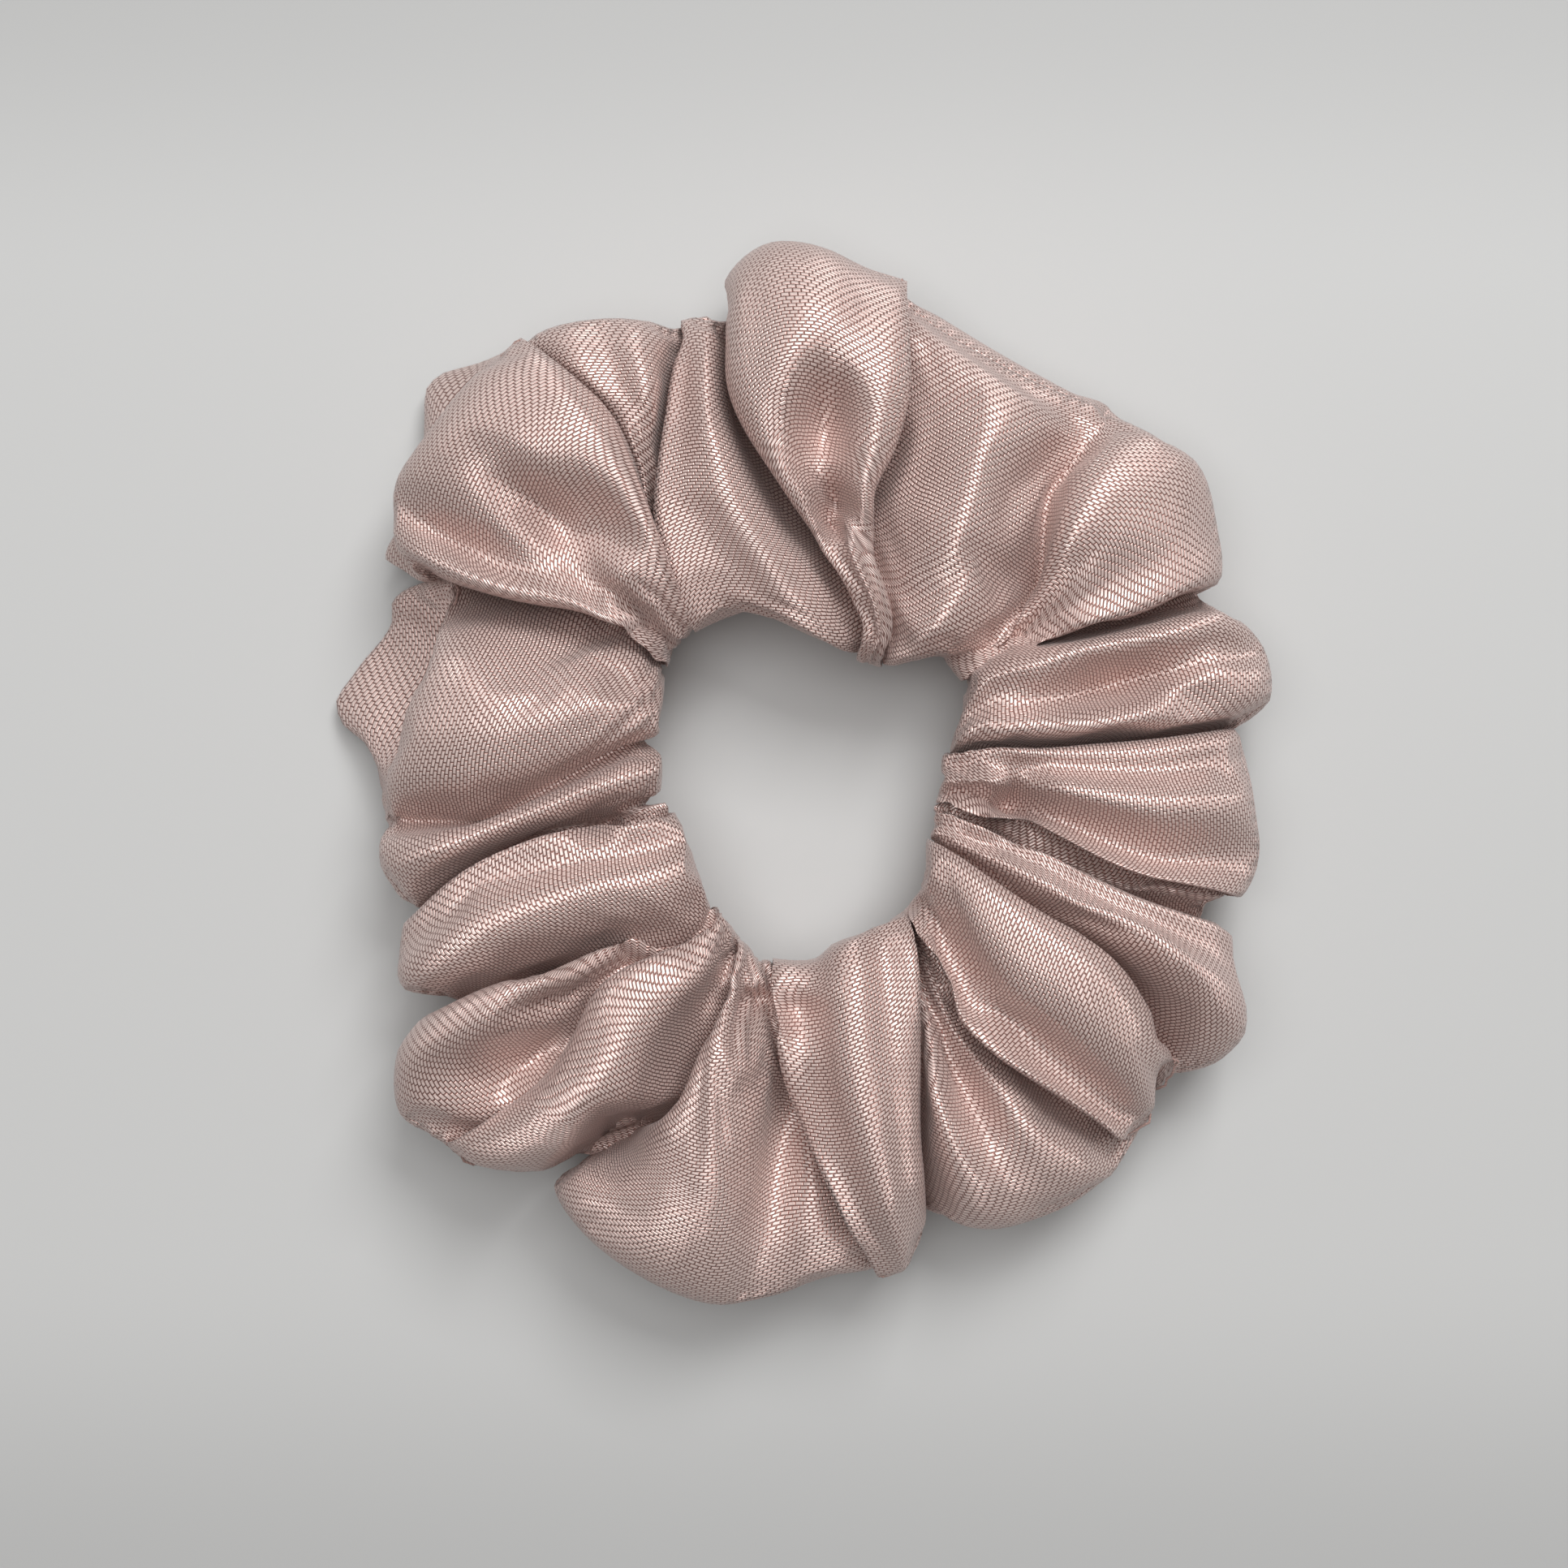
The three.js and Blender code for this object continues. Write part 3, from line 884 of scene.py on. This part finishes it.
closer = link("closing_stitches", threadMesh("closing_stitches", closingPath(), closing["radius"]))
closer.data.materials.append(pinkThread)
blendAlong(closer, *closing["length"])
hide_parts("closing_seam_thread")

elastic = {
    "radius": 25.5,
    "middle": 8.6,  # height of its middle line
    "width": 6.0,
    "thickness": 1.2,
    "outlineSteps": 24,
    "turnStep": 1.5,  # degrees
    "cords": 6,  # rubber cords that show as ribs along it
    "ribHeight": 0.12,
    "lapFrom": 163,  # the lap's ends, either side of the middle of the left body
    "lapTo": 197,
    "lapGap": 0.05,
    "braid": 1.1,  # length of one crossing of its yarns
    "yarnRise": (0.35, 0.95),
    "yarns": (0.80, 0.785, 0.745),
    # painted shade: the low gaps between the braid's yarns take this darker copy of the yarns' colour
    "paintedGapShade": (0.52, 0.50, 0.46),
    "roughness": (0.95, 0.7),
    "sheen": 0.2,
    "relief": 0.12,
}


def elasticMaterial():
    material, tree, shader = newMaterial("braided elastic")
    maths, ease, mix = nodeMakers(tree)
    along, across = alongAndAcross(tree, "braid")
    u = maths("DIVIDE", along, elastic["braid"])
    v = maths("DIVIDE", across, elastic["width"] / elastic["cords"])
    up = offMiddle(maths, maths("FRACT", maths("ADD", u, v)))
    down = offMiddle(maths, maths("FRACT", maths("SUBTRACT", u, v)))
    yarn = maths("MAXIMUM", up, down)
    height = ease(yarn, *elastic["yarnRise"], 0, 1)
    # painted shade in the braid's low places, where the yarns dip
    tree.links.new(mix(height, elastic["paintedGapShade"], elastic["yarns"]), shader.inputs["Base Color"])
    tree.links.new(ease(yarn, 0, 1, *elastic["roughness"]), shader.inputs["Roughness"])
    shader.inputs["Sheen Weight"].default_value = elastic["sheen"]
    addBump(tree, shader, height, elastic["relief"] * mm)
    return material


def bandOutline():
    points = []
    steps = elastic["outlineSteps"]
    for k in range(steps + 1):
        z = -elastic["width"] / 2 + elastic["width"] * k / steps
        rib = elastic["ribHeight"] * abs(math.sin(math.pi * elastic["cords"] * k / steps))
        points.append((elastic["thickness"] / 2 - elastic["ribHeight"] + rib, z))
    return points + [(-depth, z) for depth, z in reversed(points)]


# one layer of the band as points, faces and fabric coordinates, with closed ends
def bandLayer(fromAzimuth, toAzimuth, radius):
    outline = bandOutline()
    steps = 2 + int(abs(toAzimuth - fromAzimuth) / elastic["turnStep"])
    turns = np.radians(np.linspace(fromAzimuth, toAzimuth, steps))
    points = []
    for turn in turns:
        for depth, z in outline:
            x = centre[0] + (radius + depth) * math.cos(turn)
            y = centre[1] + (radius + depth) * math.sin(turn)
            points.append((x * mm, y * mm, (elastic["middle"] + z) * mm))
    n = len(outline)
    faces = []
    uv = []
    for k in range(len(turns) - 1):
        for i in range(n):
            j = (i + 1) % n
            faces.append((k * n + i, (k + 1) * n + i, (k + 1) * n + j, k * n + j))
            for kk, ii in ((k, i), (k + 1, i), (k + 1, j), (k, j)):
                uv += [turns[kk] * radius, outline[ii][1] + elastic["width"]]
    for k, order in ((0, range(n)), (len(turns) - 1, range(n - 1, -1, -1))):
        faces.append(tuple(k * n + i for i in order))
        for i in order:
            uv += [turns[k] * radius + outline[i][0], outline[i][1] + elastic["width"]]
    return points, faces, uv


braided = elasticMaterial()
lapMiddle = 180
lapRadius = elastic["radius"] + elastic["thickness"] + elastic["lapGap"]
for a, b, azimuth, nodes in spans:
    layers = [(azimuth, azimuth + spanTurn, elastic["radius"])]
    if b == "left":
        layers.append((elastic["lapFrom"], lapMiddle, lapRadius))
    if a == "left":
        layers.append((lapMiddle, elastic["lapTo"], lapRadius))
    points = []
    faces = []
    uv = []
    for low, high, radius in layers:
        morePoints, moreFaces, moreUv = bandLayer(low, high, radius)
        faces += [tuple(i + len(points) for i in face) for face in moreFaces]
        points += morePoints
        uv += moreUv
    name = "elastic_" + a + "_to_" + b
    band = link(name, smoothMesh(name, points, faces, "braid", uv))
    band.data.materials.append(braided)
    blendAlong(band, a, b, azimuth)
    if a == "front":
        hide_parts("elastic_band")

# zigzag stitches that go through both layers of the lap and round its edges
tack = {"rows": 6, "spread": 2.4, "radius": 0.2, "clear": 0.25}


def tackPath():
    outside = elastic["radius"] + 1.5 * elastic["thickness"] + tack["clear"]
    inside = elastic["radius"] - 0.5 * elastic["thickness"] - tack["clear"]
    path = []
    for lap in range(tack["rows"] * 2 + 1):
        turn = math.radians(lapMiddle) + tack["spread"] * (lap / tack["rows"] - 1) / outside
        z = elastic["middle"] + (elastic["width"] / 2 + tack["clear"]) * (1 if lap % 2 else -1)
        for radius in ((outside, inside) if lap % 2 else (inside, outside)):
            path.append((centre[0] + radius * math.cos(turn), centre[1] + radius * math.sin(turn), z))
    return path


tacking = link("elastic_tack_stitches", threadMesh("elastic_tack_stitches", tackPath(), tack["radius"]))
tacking.data.materials.append(whiteThread)
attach(tacking, "left")
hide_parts("elastic_bar_tack")
print("elastic joined")

light = {
    "room": 0.15,
    "roomColour": (1, 0.95, 0.93),
    "windowPower": 10.8,
    "windowSize": 0.55,
    "windowPlace": (0.30, 0.70, 1.00),
    "ceilingPower": 8,
    "ceilingSize": 0.9,
    "ceilingPlace": (-0.12, 0.12, 1.20),
    "lampColour": (0.985, 0.99, 0.99),
}
table = {
    "half": 0.6,
    "shade": (0.52, 0.52, 0.5148),
    "paintedFalloffShade": 0.82,  # painted shade: how much darker the table is painted away from the middle, towards the top and bottom of the view
    "edgeFrom": 0.055,
    "edgeTo": 0.095,
    "roughness": 0.55,
}


def buildTable():
    top = link("table", squareMesh("table", table["half"]))
    material, tree, shader = newMaterial("table top")
    maths, ease, mix = nodeMakers(tree)
    place = tree.nodes.new("ShaderNodeTexCoord")
    split = tree.nodes.new("ShaderNodeSeparateXYZ")
    tree.links.new(place.outputs["Object"], split.inputs[0])
    # painted shade: the table's colour darkens with distance from the middle along y
    away = maths("ABSOLUTE", split.outputs[1])
    edge = tuple(table["paintedFalloffShade"] * c for c in table["shade"])
    fade = ease(away, table["edgeFrom"], table["edgeTo"], 0, 1)
    tree.links.new(mix(fade, table["shade"], edge), shader.inputs["Base Color"])
    shader.inputs["Roughness"].default_value = table["roughness"]
    top.data.materials.append(material)


def addLamp(name, power, size, place):
    lamp = bpy.data.lights.new(name, "AREA")
    lamp.energy = power
    lamp.size = size
    lamp.color = light["lampColour"]
    hung = bpy.data.objects.new(name, lamp)
    hung.location = place
    hung.rotation_euler = (-Vector(place)).to_track_quat("-Z", "Y").to_euler()
    scene.collection.objects.link(hung)


def lightRoom():
    world = bpy.data.worlds.new("room")
    scene.world = world
    world.use_nodes = True
    background = world.node_tree.nodes["Background"]
    background.inputs["Color"].default_value = (*light["roomColour"], 1)
    background.inputs["Strength"].default_value = light["room"]
    addLamp("window", light["windowPower"], light["windowSize"], light["windowPlace"])
    addLamp("ceiling", light["ceilingPower"], light["ceilingSize"], light["ceilingPlace"])
    scene.view_settings.view_transform = "Standard"


view = {
    "sensor": 36,
    "height": 0.34,  # of the camera
    "focus": 0.012,  # height at which "across" is measured
    "across": 0.1739,  # width that the picture takes in there
    "place": (-0.00110, -0.00170),
}


def placeCamera():
    camera = bpy.data.cameras.new("camera")
    camera.sensor_width = view["sensor"]
    camera.lens = view["sensor"] / (view["across"] / (view["height"] - view["focus"]))
    eye = bpy.data.objects.new("camera", camera)
    eye.location = (*view["place"], view["height"])
    scene.collection.objects.link(eye)
    scene.camera = eye


buildTable()
lightRoom()
placeCamera()
print("table, lamps and camera placed")
